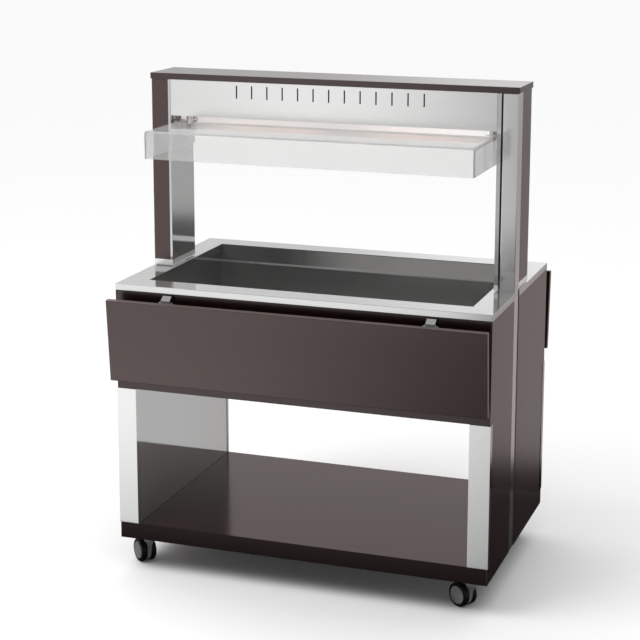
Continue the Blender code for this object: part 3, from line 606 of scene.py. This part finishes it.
def control_box_screws(name, look):
    """Four screws in the corners of the control box's rim."""
    low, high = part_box(name)
    middle = (low + high) / 2
    for y in (low.y + CONTROL_SCREW_INSET, high.y - CONTROL_SCREW_INSET):
        for z in (low.z + CONTROL_SCREW_INSET, high.z - CONTROL_SCREW_INSET):
            screw(f"control_screw_{y > middle.y:d}{z > middle.z:d}", (low.x - CLEAR, y, z),
                  (-1, 0, 0), look, BODY_OF[name],
                  radius=CONTROL_SCREW_RADIUS)


def plate_screws(looks):
    """Screws under the caster plates, on the shelf arms, the hood brackets and the control box."""
    for name in NODES:
        if name.startswith("caster_mount"):
            caster_plate_screws(name, looks["plated"])
        elif "_arm_" in name:
            shelf_arm_screws(name, looks["plated"])
        elif name.startswith("hood_bracket"):
            hood_bracket_screws(name, looks["plated"])
        elif name == "control_box":
            control_box_screws(name, looks["plated"])


def control_marks(looks):
    """Ticks round the thermostat knob, its white pointer line, and the lamp over the switch."""
    knob_low, knob_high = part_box("thermostat_knob")
    rocker_low, rocker_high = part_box("rocker_switch")
    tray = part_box("control_box")[1].x - CONTROL_TRAY
    centre = Vector((tray, (knob_low.y + knob_high.y) / 2,
                     JOINTS["thermostat_knob_turn"]["pos_m"][2]))
    outward = Matrix.Translation((-CLEAR, 0, KNOB_MARK_RADIUS))
    shape = bmesh.new()
    for index in range(KNOB_MARKS):
        turn = Matrix.Rotation(KNOB_MARK_STEP * index, 4, "X")
        size = Matrix.Diagonal((*KNOB_MARK_SIZE, KNOB_MARK_LENGTHS[index % 3 != 0], 1))
        place = Matrix.Translation(centre) @ turn @ outward @ size
        bmesh.ops.create_cube(shape, size=1, matrix=place)
    new_piece("knob_scale", shape, looks["mark"], "trolley")

    shape = bmesh.new()
    line = Matrix.Translation((knob_low.x - CLEAR, centre.y, centre.z + POINTER_UP))
    bmesh.ops.create_cube(shape, size=1, matrix=line @ Matrix.Diagonal((*POINTER_SIZE, 1)))
    bmesh.ops.bevel(shape, geom=shape.edges[:], offset=POINTER_BEVEL, segments=2, affect="EDGES")
    new_piece("knob_pointer_line", shape, looks["white"], "thermostat_knob")

    lamp = (tray, (rocker_low.y + rocker_high.y) / 2, rocker_high.z + PILOT_ABOVE_SWITCH)
    shape = bmesh.new()
    lathe(shape, PILOT_LAMP, facing_frame(lamp, (-1, 0, 0)), steps=24)
    new_piece("pilot_lamp", shape, looks["pilot"], "trolley")


def drain_pieces(looks):
    """The strainer in the basin's drain and the vinyl sleeve on the drain lever."""
    joint = JOINTS["drain_lever_turn"]
    pipe_low, pipe_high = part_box("drain_pipe")
    # The pipe's upright part is at the front end of its box
    pipe_y = pipe_low.y + (pipe_high.x - pipe_low.x) / 2
    basin_floor = pipe_high.z + NODE_GAP + WELL_SHEET
    shape = bmesh.new()
    place = Matrix.Translation((joint["pos_m"][0], pipe_y, basin_floor))
    lathe(shape, STRAINER_RIM, place, steps=48)
    upward = Matrix.Translation((0, 0, STRAINER_BAR_UP))
    for bar in range(STRAINER_BARS):
        turn = Matrix.Rotation(math.pi * bar / STRAINER_BARS, 4, "Z")
        size = Matrix.Diagonal((*STRAINER_BAR_SIZE, 1))
        bmesh.ops.create_cube(shape, size=1, matrix=place @ turn @ upward @ size)
    new_piece("drain_strainer", shape, looks["steel"], "trolley")

    low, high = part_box("drain_lever")
    shape = bmesh.new()
    centre = (high.x - SLEEVE_SIZE[0] / 2 + SLEEVE_PAST_LEVER, low.y + DRAIN_LEVER_PLATE / 2,
              joint["pos_m"][2])
    size = Matrix.Diagonal((*SLEEVE_SIZE, 1))
    bmesh.ops.create_cube(shape, size=1, matrix=Matrix.Translation(centre) @ size)
    bmesh.ops.bevel(shape, geom=shape.edges[:], offset=SLEEVE_BEVEL, segments=4, profile=0.6,
                    affect="EDGES")
    new_piece("drain_lever_sleeve", shape, looks["vinyl"], "drain_lever")


def wall_seals(looks):
    """A thin bead along the foot of each leg's inner wall: sealant in shape, near-black as painted shade for the
    shadow line there.
    """
    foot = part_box("base_shelf")[1].z + CLEAR
    steps = 6
    outline = [(0, 0)]
    for step in range(steps + 1):
        angle = math.pi / 2 * step / steps
        across = SEAL * (1 - SEAL_HOLLOW * math.sin(angle))
        up = SEAL * (1 - SEAL_HOLLOW * math.cos(angle))
        outline.append((across * (step < steps), up * (step > 0)))
    for side in ("left", "right"):
        low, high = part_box("side_frame_" + side)
        inward = 1 if side == "left" else -1
        wall = high.x if side == "left" else low.x
        shape = bmesh.new()
        front, rear = ([shape.verts.new((wall + inward * (CLEAR + across), y, foot + up))
                        for across, up in outline]
                       for y in (low.y + SEAL_END, high.y - SEAL_END))
        for index in range(len(outline)):
            after = (index + 1) % len(outline)
            shape.faces.new((front[index], front[after], rear[after], rear[index]))
        shape.faces.new(front)
        shape.faces.new(rear)
        new_piece("wall_seal_" + side, shape, looks["seal"], "trolley")


def small_pieces(looks):
    """Add every piece that the CAD leaves out."""
    looks["hub"] = moulded("hub_plastic", (0.150, 0.152, 0.152), 0.36, grain=1300.0, depth=0.03)
    looks["mark"] = moulded("printed_mark", (0.020, 0.020, 0.020), 0.45)
    looks["white"] = moulded("white_mark", (0.70, 0.70, 0.68), 0.40)
    looks["pilot"] = moulded("amber_lens", (0.75, 0.26, 0.03), 0.12, grain=200.0, depth=0.02)
    looks["vinyl"] = moulded("red_vinyl", (0.38, 0.020, 0.014), 0.34, grain=300.0)
    # Near-black bead: painted shade for the shadow line at the walls' feet
    looks["seal"] = moulded("sealant", (0.0060, 0.0050, 0.0048), 0.35, grain=700.0)
    wall_seals(looks)
    hub_caps(looks)
    plate_screws(looks)
    control_marks(looks)
    drain_pieces(looks)


# ---------------------------------------------------------------- studio

def without(tree, light, gap):
    """The light with a dark gap taken out of it."""
    return maths(tree, "MULTIPLY", light, maths(tree, "SUBTRACT", 1.0, gap))


def front_low_light(tree, elevation, bearing):
    """Below the horizon in front: brighter to the left, with a dark gap near the middle."""
    light = smooth(tree, bearing, *FRONT_BEARING)
    light = maths(tree, "MULTIPLY", light, smooth(tree, elevation, *FRONT_FALL))
    upper = maths(tree, "SUBTRACT", smooth(tree, bearing, *UPPER_BEARING),
                  smooth(tree, bearing, *UPPER_BEARING_LOSS))
    light = blend_numbers(tree, smooth(tree, elevation, *UPPER_FROM), light, upper)
    gap = maths(tree, "MULTIPLY", smooth(tree, elevation, *FRONT_GAP_BOTTOM),
                smooth(tree, elevation, *FRONT_GAP_TOP))
    gap = maths(tree, "MULTIPLY", gap, smooth(tree, bearing, *FRONT_GAP_BEARING))
    light = without(tree, light, gap)
    lowest = smooth(tree, bearing, *LOWEST_BEARING)
    return blend_numbers(tree, smooth(tree, elevation, *LOWEST_TO), lowest, light)


def right_low_light(tree, elevation, bearing):
    """Below the horizon behind and to the right: dark low down, with a dark gap higher up."""
    light = smooth(tree, bearing, *RIGHT_BEARING)
    light = maths(tree, "MULTIPLY", light, smooth(tree, elevation, *RIGHT_FALL))
    gap = maths(tree, "MULTIPLY", smooth(tree, elevation, *RIGHT_GAP_BOTTOM),
                smooth(tree, elevation, *RIGHT_GAP_TOP))
    gap = maths(tree, "MULTIPLY", gap, smooth(tree, bearing, *RIGHT_GAP_BEARING))
    return without(tree, light, gap)


def high_light(tree, elevation, bearing, is_front, is_right):
    """Above the horizon: light behind, darker in front and high on the right, bright overhead."""
    back = smooth(tree, elevation, *BACK_RISE)
    lift = maths(tree, "MULTIPLY", smooth(tree, bearing, *BACK_LIFT_BEARING),
                 smooth(tree, elevation, *BACK_LIFT_TO))
    back = maths(tree, "ADD", back, lift)
    back = blend_numbers(tree, is_right, back, smooth(tree, elevation, *RIGHT_DARK_FROM))
    light = blend_numbers(tree, is_front, back, smooth(tree, elevation, *FRONT_DARK_FROM))
    return blend_numbers(tree, smooth(tree, elevation, *OVERHEAD_FROM), light, OVERHEAD_LIGHT)


def warmth(tree, elevation, bearing, is_front, is_right):
    """How warm the light is: it is above the horizon behind, and low down on the right."""
    high = maths(tree, "MULTIPLY", smooth(tree, elevation, *WARM_FROM),
                 smooth(tree, elevation, *WARM_TO))
    high = without(tree, high, is_front)
    low = maths(tree, "MULTIPLY", smooth(tree, bearing, *WARM_BEARING),
                smooth(tree, elevation, *WARM_LOW_FROM))
    low = maths(tree, "MULTIPLY", low, maths(tree, "MULTIPLY", is_right, WARM_LOW_AMOUNT))
    return maths(tree, "MAXIMUM", high, low)


def studio_world():
    """Soft light from all round, with the broad light and dark fields of a photographer's studio.

    The fields are steps in the elevation and the bearing of a direction. Bearings are measured
    from the front, towards the left.
    """
    world = bpy.data.worlds.new("studio")
    world.use_nodes = True
    bpy.context.scene.world = world
    tree = world.node_tree
    _, (x, y, z) = coordinates(tree, "Generated")
    elevation = maths(tree, "DEGREES", maths(tree, "ARCSINE", z))
    left = maths(tree, "MULTIPLY", x, -1.0)
    ahead = maths(tree, "MULTIPLY", y, -1.0)
    bearing = maths(tree, "DEGREES", maths(tree, "ARCTAN2", left, ahead))
    is_front = smooth(tree, ahead, -0.08, 0.08)
    is_right = smooth(tree, x, -0.05, 0.15)

    back_low = blend_numbers(tree, is_right, BACK_LEFT_LIGHT,
                             right_low_light(tree, elevation, bearing))
    low = blend_numbers(tree, is_front, back_low, front_low_light(tree, elevation, bearing))
    high = high_light(tree, elevation, bearing, is_front, is_right)
    light = blend_numbers(tree, smooth(tree, elevation, *UPPER_HALF_FROM), low, high)
    is_warm = warmth(tree, elevation, bearing, is_front, is_right)
    background = tree.nodes["Background"]
    connect(tree, blend_colours(tree, is_warm, WHITE, WARM_COLOUR), background.inputs["Color"])
    connect(tree, light, background.inputs["Strength"])


def plain_object(name, shape, look, is_smooth=False):
    """Turn a bmesh into an object of the stage."""
    mesh = bpy.data.meshes.new(name)
    shape.to_mesh(mesh)
    shape.free()
    if is_smooth:
        mesh.shade_smooth()
    mesh.materials.append(look)
    made = bpy.data.objects.new(name, mesh)
    bpy.context.scene.collection.objects.link(made)
    return made


def floor(look):
    """A plain pale floor. It isn't reflected, so that the studio's fields show in the panels."""
    shape = bmesh.new()
    bmesh.ops.create_grid(shape, x_segments=4, y_segments=4, size=FLOOR_SIZE / 2)
    plane = plain_object("floor", shape, look)
    plane.visible_glossy = False


def backdrop(look):
    """A round wall that bends up out of the far floor, which keeps low views free of a horizon."""
    steps = 12
    profile = []
    for step in range(steps + 1):
        angle = math.pi / 2 * step / steps
        radius = BACKDROP_RADIUS - BACKDROP_BEND * (1 - math.sin(angle))
        profile.append((radius, CLEAR_OF_FLOOR + BACKDROP_BEND * (1 - math.cos(angle))))
    profile.append((BACKDROP_RADIUS, BACKDROP_HEIGHT))
    shape = bmesh.new()
    lathe(shape, profile, Matrix.Identity(4), steps=96)
    wall = plain_object("backdrop", shape, look, is_smooth=True)
    wall.visible_diffuse = False
    wall.visible_glossy = False
    wall.visible_shadow = False


def floor_shadow_card():
    """A dark card under the trolley, which only reflections show: painted shade for the trolley's shadow on the
    floor, which low panels reflect.
    """
    look = material("floor_shadow_card", 0.9, colour=CARD_COLOUR)[0]
    shape = bmesh.new()
    corners = [shape.verts.new((x * CARD_SIZE[0], y * CARD_SIZE[1], CLEAR_OF_FLOOR))
               for x, y in ((-1, -1), (1, -1), (1, 1), (-1, 1))]
    shape.faces.new(corners)
    card = plain_object("floor_shadow_card", shape, look)
    card.visible_camera = False
    card.visible_diffuse = False
    card.visible_transmission = False
    card.visible_shadow = False


def lights():
    """One large soft light over the front left."""
    data = bpy.data.lights.new("softbox", "AREA")
    data.shape = "RECTANGLE"
    data.size, data.size_y = SOFTBOX_SIZE
    data.energy = SOFTBOX_WATTS
    softbox = bpy.data.objects.new("softbox", data)
    softbox.location = SOFTBOX_PLACE
    aim = Vector(SOFTBOX_AIM) - softbox.location
    softbox.rotation_euler = aim.to_track_quat("-Z", "Y").to_euler()
    softbox.visible_glossy = False
    bpy.context.scene.collection.objects.link(softbox)


def camera():
    """The camera at the photograph's viewing angle."""
    data = bpy.data.cameras.new("camera")
    data.lens = CAMERA_LENS
    data.shift_x, data.shift_y = CAMERA_SHIFT
    made = bpy.data.objects.new("camera", data)
    yaw = Matrix.Rotation(CAMERA_YAW, 4, "Z")
    pitch = Matrix.Rotation(math.pi / 2 - CAMERA_PITCH, 4, "X")
    roll = Matrix.Rotation(CAMERA_ROLL, 4, "Z")
    made.matrix_world = Matrix.Translation(CAMERA_PLACE) @ yaw @ pitch @ roll
    bpy.context.scene.collection.objects.link(made)
    bpy.context.scene.camera = made


bpy.context.scene.view_settings.view_transform = "Standard"
small_pieces(finish_nodes())
studio_world()
pale = material("floor", 0.9, colour=FLOOR_COLOUR)[0]
floor(pale)
backdrop(pale)
floor_shadow_card()
lights()
camera()
